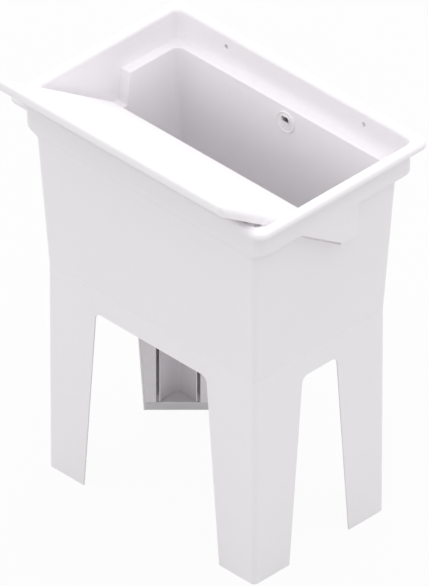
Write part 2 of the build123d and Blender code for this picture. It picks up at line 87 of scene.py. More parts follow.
class Sheet:
    # the node tree of a material or a world
    def __init__(self, owner, output="ShaderNodeOutputMaterial"):
        owner.use_nodes = True
        self.owner = owner
        self.tree = owner.node_tree
        self.tree.nodes.clear()
        self.output = self.tree.nodes.new(output)

    def node(self, kind, settings, inputs):
        made = self.tree.nodes.new(kind)
        for key, value in settings.items():
            setattr(made, key, value)
        for key, value in inputs.items():
            target = made.inputs[key]
            if isinstance(value, Wire):
                self.tree.links.new(value.socket, target)
            else:
                target.default_value = value
        return [Wire(self, socket) for socket in made.outputs]

    def finish(self, shader):
        self.tree.links.new(shader.socket, self.output.inputs["Surface"])
        return self.owner


def noise(sheet, place, scale, detail=3.0, rough=0.55):
    inputs = {"Vector": place, "Scale": scale, "Detail": detail, "Roughness": rough}
    return sheet.node("ShaderNodeTexNoise", {}, inputs)[0]


def objectPlace(sheet):
    return sheet.node("ShaderNodeTexCoord", {}, {})[3]


def mixColour(sheet, factor, low, high):
    return sheet.node("ShaderNodeMix", {"data_type": "RGBA"}, {0: factor, 6: low, 7: high})[2]


def stretched(sheet, place, scale):
    return sheet.node("ShaderNodeMapping", {}, {"Vector": place, "Scale": scale})[0]


def bump(sheet, strength, distance, height):
    inputs = {"Strength": strength, "Distance": distance, "Height": height}
    return sheet.node("ShaderNodeBump", {}, inputs)[0]


mouldedSettings = {
    "tubPlastic": {"colour": (0.97, 0.945, 0.97, 1), "shade": (0.955, 0.93, 0.955, 1), "roughness": 0.36,
                   "grain": 0.00006, "specular": 0.4},
    "standPlastic": {"colour": (0.97, 0.945, 0.97, 1), "shade": (0.955, 0.93, 0.955, 1), "roughness": 0.4,
                     "grain": 0.00008, "specular": 0.4},
    "boardPlastic": {"colour": (0.99, 0.97, 0.99, 1), "shade": (0.98, 0.96, 0.98, 1), "roughness": 0.45,
                     "grain": 0.00005, "specular": 0.35},
    "padPlastic": {"colour": (0.82, 0.81, 0.82, 1), "shade": (0.78, 0.77, 0.78, 1), "roughness": 0.5,
                   "grain": 0.00008, "specular": 0.35},
    "coverPlastic": {"colour": (0.94, 0.925, 0.94, 1), "shade": (0.92, 0.905, 0.92, 1), "roughness": 0.2,
                     "grain": 0.00002, "specular": 0.5},
    "pipePlastic": {"colour": (0.88, 0.87, 0.87, 1), "shade": (0.84, 0.83, 0.83, 1), "roughness": 0.34,
                    "grain": 0.00005, "specular": 0.45},
    "nutPlastic": {"colour": (0.84, 0.83, 0.83, 1), "shade": (0.8, 0.79, 0.79, 1), "roughness": 0.42,
                   "grain": 0.00008, "specular": 0.4},
}


def mouldedPlastic(name):
    # white moulded plastic: a fine spark-eroded grain, slow tone drift and faint wiping marks
    look = mouldedSettings[name]
    sheet = Sheet(bpy.data.materials.new(name))
    place = objectPlace(sheet)
    drift = noise(sheet, place, 4.5, 3.0)
    mottle = noise(sheet, place, 42.0, 4.0)
    smear = noise(sheet, stretched(sheet, place, (3.0, 9.0, 30.0)), 3.0, 5.0, 0.65).between(0.56, 0.78)
    grain = noise(sheet, place, 1500.0, 2.0)
    ripple = noise(sheet, place, 260.0, 2.0)
    tone = (drift * 0.6 + mottle * 0.4).between(0.35, 0.7)
    colour = mixColour(sheet, tone, look["colour"], look["shade"])
    rough = look["roughness"] + (mottle - 0.5) * 0.08 + smear * 0.07
    skin = bump(sheet, 1.0, look["grain"], grain + ripple * 1.6)
    plastic = sheet.node("ShaderNodeBsdfPrincipled", {}, {
        "Base Color": colour, "Roughness": rough, "Specular IOR Level": look["specular"],
        "Normal": skin})[0]
    return sheet.finish(plastic)


metalSettings = {
    "strainerSteel": {"colour": (0.62, 0.61, 0.6, 1), "dull": (0.5, 0.49, 0.48, 1), "roughness": 0.26,
                      "brush": (40.0, 40.0, 4.0)},
    "screwZinc": {"colour": (0.66, 0.67, 0.68, 1), "dull": (0.48, 0.49, 0.5, 1), "roughness": 0.34,
                  "brush": (60.0, 60.0, 60.0)},
    "insertBrass": {"colour": (0.72, 0.55, 0.27, 1), "dull": (0.5, 0.37, 0.18, 1), "roughness": 0.32,
                    "brush": (50.0, 50.0, 10.0)},
}


def wornMetal(name):
    # drawn or plated metal: fine scratches one way, and dull patches
    look = metalSettings[name]
    sheet = Sheet(bpy.data.materials.new(name))
    place = objectPlace(sheet)
    scratches = noise(sheet, stretched(sheet, place, look["brush"]), 30.0, 5.0, 0.7)
    patches = noise(sheet, place, 90.0, 4.0).between(0.45, 0.7)
    colour = mixColour(sheet, patches * 0.5 + scratches * 0.2, look["colour"], look["dull"])
    rough = look["roughness"] + patches * 0.14 + (scratches - 0.5) * 0.12
    metal = sheet.node("ShaderNodeBsdfPrincipled", {}, {
        "Base Color": colour, "Metallic": 1.0, "Roughness": rough,
        "Normal": bump(sheet, 0.5, 0.00005, scratches)})[0]
    return sheet.finish(metal)


rubberSettings = {
    "sealRubber": {"colour": (0.05, 0.05, 0.052, 1), "bloom": (0.11, 0.11, 0.11, 1), "roughness": 0.62},
    "plugRubber": {"colour": (0.06, 0.06, 0.063, 1), "bloom": (0.12, 0.12, 0.12, 1), "roughness": 0.55},
}


def mouldedRubber(name):
    # rubber with a greyish bloom and a pebbled skin
    look = rubberSettings[name]
    sheet = Sheet(bpy.data.materials.new(name))
    place = objectPlace(sheet)
    bloom = noise(sheet, place, 60.0, 5.0, 0.6).between(0.42, 0.75)
    pebble = noise(sheet, place, 900.0, 2.0)
    colour = mixColour(sheet, bloom, look["colour"], look["bloom"])
    rough = look["roughness"] + bloom * 0.15
    rubber = sheet.node("ShaderNodeBsdfPrincipled", {}, {
        "Base Color": colour, "Roughness": rough, "Specular IOR Level": 0.35,
        "Normal": bump(sheet, 0.6, 0.00008, pebble)})[0]
    return sheet.finish(rubber)


materials = {name: mouldedPlastic(name) for name in mouldedSettings}
materials.update({name: wornMetal(name) for name in metalSettings})
materials.update({name: mouldedRubber(name) for name in rubberSettings})
print("materials done")


# Lengths below are in millimetres: x from the middle, y back from the stand's front face,
# z up from the floor
mm = 0.001
standLow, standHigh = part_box("stand")
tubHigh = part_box("tub")[1]
frontFace = standLow.y / mm
baseLength = (standHigh.x - standLow.x) / mm
baseDepth = (standHigh.y - standLow.y) / mm
creaseHeight = standHigh.z / mm
rimHeight = tubHigh.z / mm
rimOffset = tubHigh.x / mm - baseLength / 2
halfLength = baseLength / 2
wall = 3.5
over = 1.0  # how far a cutting shape stands past what it cuts
frontTrim = 12.0  # the front stands out this much less than the ends and the back
cornerSteps = 10
hardAngle = 40.0


def placed(name, points, faces):
    # a mesh object from points in millimetres, with its faces turned outwards
    mesh = bpy.data.meshes.new(name)
    mesh.from_pydata([(x * mm, (y + frontFace) * mm, z * mm) for x, y, z in points], [], faces)
    shape = bmesh.new()
    shape.from_mesh(mesh)
    bmesh.ops.recalc_face_normals(shape, faces=shape.faces)
    shape.to_mesh(mesh)
    shape.free()
    piece = bpy.data.objects.new(name, mesh)
    bpy.context.scene.collection.objects.link(piece)
    return piece


def roundedLoop(side, front, height, radius):
    # rounded rectangle outside the stand's outline, by side at the ends and back, by front at the front
    right, back = halfLength + side, baseDepth + side
    points = []
    for turn, x, y in ((0, right - radius, back - radius), (90, radius - right, back - radius),
                       (180, radius - right, radius - front), (270, right - radius, radius - front)):
        for step in range(cornerSteps + 1):
            angle = math.radians(turn + 90 * step / cornerSteps)
            points.append((x + radius * math.cos(angle), y + radius * math.sin(angle), height))
    return points


def squareLoop(half, centreY, height, radius):
    # rounded square in the middle of the length
    points = []
    for turn, x, y in ((0, 1, 1), (90, -1, 1), (180, -1, -1), (270, 1, -1)):
        for step in range(cornerSteps + 1):
            angle = math.radians(turn + 90 * step / cornerSteps)
            points.append((x * (half - radius) + radius * math.cos(angle),
                           centreY + y * (half - radius) + radius * math.sin(angle), height))
    return points


def circleLoop(radius, height, steps=48):
    turns = [2 * math.pi * step / steps for step in range(steps)]
    return [(radius * math.cos(angle), radius * math.sin(angle), height) for angle in turns]


def stack(name, loops):
    # a closed solid through loops of equal length, one above another
    count = len(loops[0])
    points = [point for loop in loops for point in loop]
    faces = [tuple(range(count)), tuple(range(len(points) - count, len(points)))]
    for level in range(len(loops) - 1):
        for step in range(count):
            near, far = level * count + step, level * count + (step + 1) % count
            faces.append((near, far, far + count, near + count))
    return placed(name, points, faces)


def slab(name, offset, ends, radius):
    # straight up along the stand's outline, moved outwards by offset
    return stack(name, [roundedLoop(offset, offset, height, radius) for height in ends])


def prismX(name, outline, fromX, toX):
    return stack(name, [[(x, y, z) for y, z in outline] for x in (fromX, toX)])


def shrunk(outline, inset):
    # a closed outline with every side moved inwards
    middle = sum((Vector(point) for point in outline), Vector((0, 0))) / len(outline)
    points = []
    for place in range(len(outline)):
        before, here, after = (Vector(outline[(place + step) % len(outline)]) for step in (-1, 0, 1))
        sides = []
        for start, end in ((before, here), (here, after)):
            way = (end - start).normalized()
            square = Vector((-way.y, way.x))
            sides.append(square if square.dot(middle - start) > 0 else -square)
        points.append(tuple(here + inset * (sides[0] + sides[1]) / (1 + sides[0].dot(sides[1]))))
    return points


def pillowX(name, outline, fromX, toX, radius, steps=4):
    # a prism along x with the edges of its outer end rounded
    way = math.copysign(radius, toX - fromX)
    turns = [math.pi / 2 * step / steps for step in range(steps + 1)]
    levels = [(fromX, 0.0)]
    levels += [(toX - way * (1 - math.sin(turn)), radius * (1 - math.cos(turn))) for turn in turns]
    return stack(name, [[(x, y, z) for y, z in shrunk(outline, inset)] for x, inset in levels])


def prismY(name, outline, fromY, toY):
    return stack(name, [[(x, y, z) for x, z in outline] for y in (fromY, toY)])


def turnedStack(name, profile, place, steps=48):
    # circles of (radius, height) about an axis; place is the axis in millimetres
    loops = [[tuple(place @ Vector(point)) for point in circleLoop(radius, height, steps)]
             for radius, height in profile]
    return stack(name, loops)


def rod(name, radius, ends, place, steps=48):
    return turnedStack(name, [(radius, height) for height in ends], place, steps)


def settle(piece):
    # turn the piece's modifiers into its mesh
    graph = bpy.context.evaluated_depsgraph_get()
    mesh = bpy.data.meshes.new_from_object(piece.evaluated_get(graph))
    piece.modifiers.clear()
    old = piece.data
    piece.data = mesh
    bpy.data.meshes.remove(old)


def combine(piece, tools, operation):
    for tool in tools:
        modifier = piece.modifiers.new("combine", "BOOLEAN")
        modifier.operation = operation
        modifier.solver = "EXACT"
        modifier.object = tool
        settle(piece)
        mesh = tool.data
        bpy.data.objects.remove(tool)
        bpy.data.meshes.remove(mesh)
    return piece


def add(piece, *tools):
    return combine(piece, tools, "UNION")


def cut(piece, *tools):
    return combine(piece, tools, "DIFFERENCE")


def soften(piece, radiusAt, widest, segments=4, sharp=28.0, dissolve=True):
    # round every sharp edge by the radius that radiusAt gives for its middle
    shape = bmesh.new()
    shape.from_mesh(piece.data)
    bmesh.ops.remove_doubles(shape, verts=shape.verts, dist=0.05 * mm)
    if dissolve:
        bmesh.ops.dissolve_limit(shape, angle_limit=math.radians(0.4), verts=shape.verts, edges=shape.edges)
    for across in ((1, 0, 0), (0, 1, 0)):  # so that no flat ring stays one face
        everything = shape.verts[:] + shape.edges[:] + shape.faces[:]
        middle = (0, (baseDepth / 2 + frontFace) * mm, 0)
        bmesh.ops.bisect_plane(shape, geom=everything, plane_co=middle, plane_no=across, dist=0.001 * mm)
    weights = shape.edges.layers.float.new("bevel_weight_edge")
    for edge in shape.edges:
        if len(edge.link_faces) == 2 and edge.calc_face_angle(0) > math.radians(sharp):
            middle = (edge.verts[0].co + edge.verts[1].co) / (2 * mm)
            edge[weights] = radiusAt(middle.x, middle.y - frontFace, middle.z) / widest
    shape.to_mesh(piece.data)
    shape.free()
    modifier = piece.modifiers.new("soften", "BEVEL")
    modifier.limit_method = "WEIGHT"
    modifier.width = widest * mm
    modifier.segments = segments
    modifier.use_clamp_overlap = False
    modifier.loop_slide = False
    settle(piece)
    for polygon in piece.data.polygons:
        polygon.use_smooth = True
    piece.data.set_sharp_from_angle(angle=math.radians(hardAngle))
    modifier = piece.modifiers.new("evenShading", "WEIGHTED_NORMAL")
    modifier.weight = 80
    modifier.keep_sharp = True
    return piece


def softenAll(piece, radius, sharp=28.0):
    return soften(piece, lambda x, y, z: radius, radius, 3, sharp)


def joinFlat(piece, where):
    # merge flat neighbours across the edges that where picks by their middle
    shape = bmesh.new()
    shape.from_mesh(piece.data)
    bmesh.ops.remove_doubles(shape, verts=shape.verts, dist=0.05 * mm)
    flat = []
    for edge in shape.edges:
        middle = (edge.verts[0].co + edge.verts[1].co) / (2 * mm)
        if len(edge.link_faces) == 2 and edge.calc_face_angle(0) < math.radians(0.5):
            if where(middle.x, middle.y - frontFace, middle.z):
                flat.append(edge)
    bmesh.ops.dissolve_edges(shape, edges=flat, use_verts=True)
    shape.to_mesh(piece.data)
    shape.free()


def fit(piece, material, body, slot, *nodes):
    # dress the piece and let it stand for its nodes
    piece.data.materials.clear()
    piece.data.materials.append(material)
    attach(piece, body)
    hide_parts(*nodes)


tubSizes = {
    # rim and collar
    "rimThickness": 12.0, "rimRadius": 25.0, "rimRoll": 8.0, "grooveDepth": 7.0,
    "collarOffset": 38.0, "collarRadius": 21.0, "collarDepth": 68.0, "collarLedge": 16.0,
    "footDrop": 26.0, "footLift": 3.0, "footSteps": 12,
    # basin
    "ledgeDepth": 67.0, "basinFlare": 16.5, "basinRadius": 14.0, "cornerRadius": 10.0, "innerRounder": 2.0,
    "floorRise": 13.0, "floorFall": 8.0, "floorWall": 4.0, "fallInset": 17.0, "fallRadius": 4.0,
    # drain and overflow
    "drainFlat": 110.0, "drainFromBack": 140.0, "padRadius": 50.0, "padDrop": 8.0, "recessRadius": 44.5,
    "recessDepth": 3.0, "drainRadius": 27.0, "overflowDepth": 100.0, "overflowRadius": 13.0,
    # the board's two seats, with a pocket and a bulge below each
    "boardSlope": 0.6614, "seatBelowRim": 11.1, "seatStep": 9.5, "shelfDepth": 133.5, "pocketReach": 20.0,
    "stepFoot": 222.0, "stepTop": 233.0, "bulgeDrop": 6.5, "bulgeFloorDrop": 10.0, "bulgeBack": 236.5,
    "bulgeHead": 20.0, "bulgeRadius": 3.0,
    "grooveRise": (0.4, 5.2), "grooveStart": 10.0, "grooveInset": 5.5,
    # the nibs that hold the board
    "nibY": (110.0, 160.0), "nibHalf": 4.0, "nibFoot": -8.0, "nibTop": 6.0, "nibReach": 5.0,
    # screw bosses and wall holes
    "bossRadius": 6.0, "wallHoleRadius": 4.5, "wallHoleSpacing": 363.0, "wallHoleDepth": 28.0,
    "wallHoleEnds": (10.0, 80.0), "wallBossRadius": 9.0, "wallBossStart": 36.0, "wallBossGap": 2.0,
    # roundings
    "underRounding": 0.8, "floorRounding": 9.0, "holeRounding": 1.0, "edgeRounding": 2.5}
screwInset = 13.0
screwColumns = (-180.0, 0.0, 180.0)
collarHeight = rimHeight - tubSizes["collarDepth"]
collarFoot = collarHeight - tubSizes["collarLedge"]
ledgeHeight = rimHeight - tubSizes["ledgeDepth"]
floorHeight = creaseHeight + tubSizes["floorRise"]
drainY = baseDepth - tubSizes["drainFromBack"]
seatZero = rimHeight - tubSizes["seatBelowRim"]
shelfTop = rimHeight - tubSizes["shelfDepth"]
boardSlope = tubSizes["boardSlope"]


def flare(height):
    return (height - creaseHeight) * tubSizes["basinFlare"] / (collarFoot - creaseHeight)


def seat(y):
    return seatZero - boardSlope * y


seatEdge = halfLength + flare(ledgeHeight) - wall  # where the seats begin, from the middle


def onSeatBlock(y, half, low, high):
    # a block about the seat's height at y, seen from the end
    corners = ((-half, low), (-half, high), (half, high), (half, low))
    return [(y + across, seat(y) + up) for across, up in corners]


def overflowAxis():
    # square to the sloping back wall, pointing into the basin
    height = rimHeight - tubSizes["overflowDepth"]
    tilt = math.atan(tubSizes["basinFlare"] / (collarFoot - creaseHeight))
    place = Matrix.Translation((0, baseDepth + flare(height) - wall, height))
    return place @ Matrix.Rotation(math.pi / 2 - tilt, 4, "X")


def wallHolePlaces():
    # pointing backwards from the stand's back face
    for side in (-1, 1):
        start = (side * tubSizes["wallHoleSpacing"] / 2, baseDepth, rimHeight - tubSizes["wallHoleDepth"])
        yield Matrix.Translation(start) @ Matrix.Rotation(-math.pi / 2, 4, "X")


def screwPlaces():
    back = baseDepth - screwInset
    places = [(x, y) for y in (screwInset, back) for x in screwColumns]
    return places + [(side * (halfLength - screwInset), baseDepth / 2) for side in (-1, 1)]


def tubOutside():
    # up the basin, the collar's foot and the collar, round the groove under the rim and up the rim
    size = tubSizes
    rimFoot = rimHeight - size["rimThickness"]
    grooveTop = rimFoot + size["grooveDepth"]
    collar = size["collarOffset"]
    levels = [(flare(creaseHeight), 0.0, creaseHeight, size["cornerRadius"])]
    low, high = collarHeight - size["footDrop"], collarHeight + size["footLift"]
    for step in range(size["footSteps"]):
        part = step / size["footSteps"]
        height, share = low + part * (high - low), part ** 2 * (3 - 2 * part)
        basin = flare(height)
        side, front = [basin + share * (reach - basin) for reach in (collar, collar - frontTrim)]
        radius = size["basinRadius"] + share * (size["collarRadius"] - size["basinRadius"])
        levels.append((side, front, height, radius))
    above = [(collar, high, size["collarRadius"]), (collar, rimFoot, size["collarRadius"]),
             (collar + wall, rimFoot, size["collarRadius"] + wall),
             (collar + wall, grooveTop, size["collarRadius"] + wall),
             (rimOffset - wall, grooveTop, size["rimRadius"] - wall),
             (rimOffset - wall, rimFoot, size["rimRadius"] - wall),
             (rimOffset, rimFoot, size["rimRadius"]), (rimOffset, rimHeight, size["rimRadius"])]
    levels += [(side, side - frontTrim, height, radius) for side, height, radius in above]
    return stack("tub_shell", [roundedLoop(*level) for level in levels])


def tubInside():
    # the hollow of the tub, less the two sloping seats, with a pocket below each seat
    size = tubSizes
    inner, rounder = size["collarOffset"] - wall, size["innerRounder"]
    fall = size["fallInset"]
    low, high = flare(floorHeight) - wall, flare(ledgeHeight) - wall
    loops = [squareLoop(size["drainFlat"] / 2, drainY, floorHeight - size["floorFall"], size["fallRadius"]),
             roundedLoop(-fall, -fall, floorHeight, size["fallRadius"]),
             roundedLoop(low, low, floorHeight, size["cornerRadius"] + rounder),
             roundedLoop(high, high, ledgeHeight, size["basinRadius"] + rounder),
             roundedLoop(inner, inner - frontTrim, ledgeHeight, size["collarRadius"] - wall),
             roundedLoop(inner, inner - frontTrim, rimHeight + over, size["collarRadius"] - wall)]
    hollow = stack("hollow", loops)
    seatStart, shelfStart = (seatZero - ledgeHeight) / boardSlope, (seatZero - shelfTop) / boardSlope
    front = frontTrim - inner - wall
    step = rimHeight - size["seatStep"]
    ramp = [(front, ledgeHeight - over), (front, step), ((seatZero - step) / boardSlope, step),
            (seatStart, ledgeHeight), (seatStart, ledgeHeight - over)]
    pocket = [(seatStart, ledgeHeight), (shelfStart, shelfTop), (size["stepFoot"], shelfTop),
              (size["stepTop"], ledgeHeight), (size["stepTop"], ledgeHeight + over),
              (seatStart, ledgeHeight + over)]
    edge, reach = halfLength + high, halfLength + inner
    for side in (-1, 1):
        cut(hollow, prismX("ramp", ramp, side * edge, side * (reach + 2 * over)))
        add(hollow, prismX("pocket", pocket, side * (halfLength - size["pocketReach"]), side * reach))
    return hollow


def tubUnderside():
    # the shallow space under the floor, round the screw bosses and the drain pad
    size = tubSizes
    top = floorHeight - size["floorWall"]
    space = slab("space", -wall, (creaseHeight - over, top), size["cornerRadius"] - wall)
    fall = size["floorWall"] - size["fallInset"]
    floor = [squareLoop(size["drainFlat"] / 2, drainY, top - size["floorFall"], size["fallRadius"])]
    floor += [roundedLoop(fall, fall, height, size["fallRadius"]) for height in (top, top + over)]
    cut(space, stack("floor", floor))
    for x, y in screwPlaces():
        place = Matrix.Translation((x, y, 0))
        cut(space, rod("boss", size["bossRadius"], (creaseHeight, top + over), place, 24))
    padFoot = floorHeight - size["floorFall"] - size["padDrop"]
    cut(space, rod("pad", size["padRadius"], (padFoot, top + over), Matrix.Translation((0, drainY, 0))))
    return space


def insidePocket(y, z):
    # within the pocket's own outline, or just past it, seen from the end
    size = tubSizes
    share = (z - shelfTop) / (ledgeHeight - shelfTop)
    back = size["stepFoot"] + share * (size["stepTop"] - size["stepFoot"])
    return (seatZero - z) / boardSlope - 2 < y < back + 1


def tubRounding(x, y, z):
    # every edge is known by where its middle lies, so each window is a little wider than its form
    size = tubSizes
    if z > rimHeight - 0.5:
        return size["rimRoll"]
    if z < floorHeight - 1.5:
        return size["underRounding"]
    if z < floorHeight + 1.5:
        return size["floorRounding"]
    if max(abs(x) - halfLength, frontTrim - y, y - baseDepth) > size["collarOffset"] - 1:
        return 0.0 if z < collarHeight + 22 else size["holeRounding"]
    past = max(abs(x) - halfLength, -y, y - baseDepth)
    inPocket = shelfTop - 1 < z and insidePocket(y, z)
    if past > max(0.0, flare(z) - 1) and z < ledgeHeight - 1 and not inPocket:
        return 0.0
    fromOverflow = max(abs(x), abs(z - rimHeight + size["overflowDepth"]))
    fromWallHole = max(abs(abs(x) - size["wallHoleSpacing"] / 2),
                       abs(z - rimHeight + size["wallHoleDepth"]))
    if fromOverflow < size["overflowRadius"] + 7 or fromWallHole < size["wallBossRadius"] + 3:
        return size["holeRounding"]
    above = z - seat(y)
    nearNib = any(abs(y - nib) < size["nibHalf"] + 2 for nib in size["nibY"])
    nearNib = nearNib and size["nibFoot"] - 1 < above < size["nibTop"] + 2
    onSeat = abs(above) < 1 or rimHeight - 8 < z < rimHeight - 1
    frontLedge = y < 8 and abs(z - ledgeHeight) < 1
    return 0.0 if onSeat or nearNib or frontLedge else size["edgeRounding"]


def makeTub():
    size = tubSizes
    tub = tubOutside()
    drop, reach = seatZero - size["bulgeDrop"], halfLength + size["collarOffset"]
    bulgeFloor, bulgeHead = shelfTop - size["bulgeFloorDrop"], collarHeight + size["bulgeHead"]
    start, turn = (drop - collarHeight) / boardSlope, (drop - bulgeFloor) / boardSlope
    bulge = [(start, collarHeight), (turn, bulgeFloor), (size["bulgeBack"], bulgeFloor),
             (size["bulgeBack"], bulgeHead), (start, bulgeHead)]
    for side in (-1, 1):
        add(tub, pillowX("bulge", bulge, side * (halfLength - over), side * reach, size["bulgeRadius"]))
    low, high = size["grooveRise"]
    grooveY, grooveZ = start + size["grooveStart"], collarHeight - boardSlope * size["grooveStart"]
    groove = [(grooveY, grooveZ + low), (turn, bulgeFloor + low),
              (turn, bulgeFloor + high), (grooveY, grooveZ + high)]
    for side in (-1, 1):
        cut(tub, prismX("groove", groove, side * (reach - size["grooveInset"]), side * (reach + over)))
    bossEnds = (size["wallBossStart"], rimOffset - size["wallBossGap"])
    for place in wallHolePlaces():
        add(tub, rod("wallBoss", size["wallBossRadius"], bossEnds, place, 32))
    cut(tub, tubInside())
    cut(tub, tubUnderside())
    for place in wallHolePlaces():
        cut(tub, rod("wallHole", size["wallHoleRadius"], size["wallHoleEnds"], place, 24))
    drain = Matrix.Translation((0, drainY, 0))
    recess = floorHeight - size["floorFall"] - size["recessDepth"]
    cut(tub, rod("recess", size["recessRadius"], (recess, floorHeight + 2 * over), drain))
    cut(tub, rod("drain", size["drainRadius"], (creaseHeight - 5 * over, floorHeight), drain))
    cut(tub, rod("overflow", size["overflowRadius"], (-3 * wall, 3 * wall), overflowAxis(), 32))
    for side in (-1, 1):
        for y in size["nibY"]:
            nib = onSeatBlock(y, size["nibHalf"], size["nibFoot"], size["nibTop"])
            add(tub, prismX("nib", nib, side * seatEdge, side * seatEdge + side * size["nibReach"]))
    joinFlat(tub, lambda x, y, z: abs(abs(x) - reach + wall) < 0.1 and abs(z - ledgeHeight) < 2 and
             y < size["stepTop"])
    return soften(tub, tubRounding, size["floorRounding"], 4, dissolve=False)


tub = makeTub()
print("tub done", len(tub.data.polygons))


standSizes = {"cornerRadius": 10.0, "apronDepth": 48.0, "archRadius": 15.0, "legFloor": 94.0,
              "legTop": 128.0, "slot": 84.0, "topFlange": 24.0,
              "footHeight": 18.0, "footPlate": 4.0, "footGap": 0.2,
              "finGap": 6.0, "finWall": 2.2, "finSetback": 1.5, "finStart": 8.0, "finLift": 2.0,
              "blockHalf": 150.0, "rounding": 1.0, "padRounding": 0.8}
archTop = creaseHeight - standSizes["apronDepth"]
legRate = (standSizes["legTop"] - standSizes["legFloor"]) / archTop


def archOutline(length, middle):
    # the opening between two legs, with its upper corners rounded
    size = standSizes
    foot, head, radius = length / 2 - size["legFloor"], length / 2 - size["legTop"], size["archRadius"]
    lean = math.atan2(foot - head, archTop)
    turn = math.pi / 2 - lean
    centreX, centreZ = head - radius * math.tan(turn / 2), archTop - radius
    right = [(foot + (foot - head) / archTop, -over)]
    for step in range(cornerSteps + 1):
        angle = lean + turn * step / cornerSteps
        right.append((centreX + radius * math.cos(angle), centreZ + radius * math.sin(angle)))
    left = [(-x, z) for x, z in reversed(right)]
    return [(middle + x, z) for x, z in right + left]


def legPlace(sideX, sideY):
    # at the corner of the outline, with local x along the diagonal into the stand
    turn = {(-1, -1): 45, (1, -1): 135, (1, 1): 225, (-1, 1): 315}[(sideX, sideY)]
    corner = Matrix.Translation((sideX * halfLength, baseDepth / 2 + sideY * baseDepth / 2, 0))
    return corner @ Matrix.Rotation(math.radians(turn), 4, "Z")


def legBlock(name, place, fromY, toY, near, far, low, high):
    # a block across a leg; near and far are distances along the diagonal, each at the foot and at the head
    corners = [(near[0], fromY, low), (far[0], fromY, low), (far[0], toY, low), (near[0], toY, low),
               (near[1], fromY, high), (far[1], fromY, high), (far[1], toY, high), (near[1], toY, high)]
    points = [tuple(place @ Vector(corner)) for corner in corners]
    faces = [(0, 1, 2, 3), (4, 5, 6, 7), (0, 1, 5, 4), (1, 2, 6, 5), (2, 3, 7, 6), (3, 0, 4, 7)]
    return placed(name, points, faces)


def legReach(height):
    return (standSizes["legFloor"] + legRate * height) / math.sqrt(2)


def makeStand():
    size = standSizes
    top = creaseHeight - wall
    corner = size["cornerRadius"]
    stand = slab("stand_shell", 0, (0, creaseHeight), corner)
    cut(stand, slab("inside", -wall, (-over, top), corner - wall))
    cut(stand, slab("mouth", -size["topFlange"], (top - over, creaseHeight + over), corner))
    past = 5 * over
    cut(stand, prismY("archLong", archOutline(baseLength, 0), -past, baseDepth + past))
    endArch = archOutline(baseDepth, baseDepth / 2)
    cut(stand, prismX("archEnd", endArch, -halfLength - past, halfLength + past))
    foot, edge = size["footHeight"], size["slot"] / 2
    near, far = legReach(foot), legReach(top)
    finEdge, start, setback = edge - size["finGap"], size["finStart"], size["finSetback"]
    for sideX in (-1, 1):
        for sideY in (-1, 1):
            place = legPlace(sideX, sideY)
            for side in (-1, 1):
                web = legBlock("web", place, side * edge, side * size["blockHalf"],
                               (near - wall, far - wall), (near, far), foot, top)
                fin = legBlock("fin", place, side * finEdge, side * (finEdge - size["finWall"]),
                               (start, start), (near - setback, far - setback), foot + size["finLift"], top)
                for piece in (web, fin):
                    combine(piece, [slab("hull", -wall / 2, (0, top + over), corner)], "INTERSECT")
                    add(stand, piece)
    return softenAll(stand, size["rounding"])


def makeFoot(name, sideX, sideY):
    # a pad closes the end of a leg
    size = standSizes
    place, top, half = legPlace(sideX, sideY), size["footHeight"], size["blockHalf"]
    near, far = legReach(0), legReach(top)
    foot = legBlock(name, place, -half, half, (near - wall, far - wall), (near, far), 0, top)
    plate = legBlock("plate", place, over - half, half - over, (over, over), (near - over, near - over),
                     0, size["footPlate"])
    for piece in (foot, plate):
        hull = slab("hull", -wall - size["footGap"], (-over, top + over), size["cornerRadius"] - wall)
        combine(piece, [hull], "INTERSECT")
    add(foot, plate)
    return softenAll(foot, size["padRounding"])


stand = makeStand()
feet = {"foot_front_left": makeFoot("pad_front_left", -1, -1),
        "foot_front_right": makeFoot("pad_front_right", 1, -1),
        "foot_back_left": makeFoot("pad_back_left", -1, 1),
        "foot_back_right": makeFoot("pad_back_right", 1, 1)}
print("stand done", len(stand.data.polygons))


boardSizes = {"endGap": 11.0, "front": -112.7, "back": 195.0, "thickness": 20.0, "skin": 3.5,
              "frame": 14.0, "rib": 3.0, "cellsLong": 9, "cellsDeep": 4,
              "topRadius": 12.0, "lowRadius": 4.0, "underRadius": 1.2,
              "socketHalf": 5.0, "socketFoot": -8.0, "socketTop": 7.0, "socketReach": 6.0}
boardLength = baseLength + 2 * (tubSizes["collarOffset"] - wall - boardSizes["endGap"])


def boardRounding(x, y, z):
    # the top and the ends are full, the underside only broken
    size = boardSizes
    above = z - seat(y)
    end = boardLength / 2 - abs(x)
    if above > size["thickness"] * 1.1 or (end < 0.5 and above > 6):
        return size["topRadius"]
    return size["lowRadius"] if y < size["front"] + 0.5 and above < 0.5 else size["underRadius"]


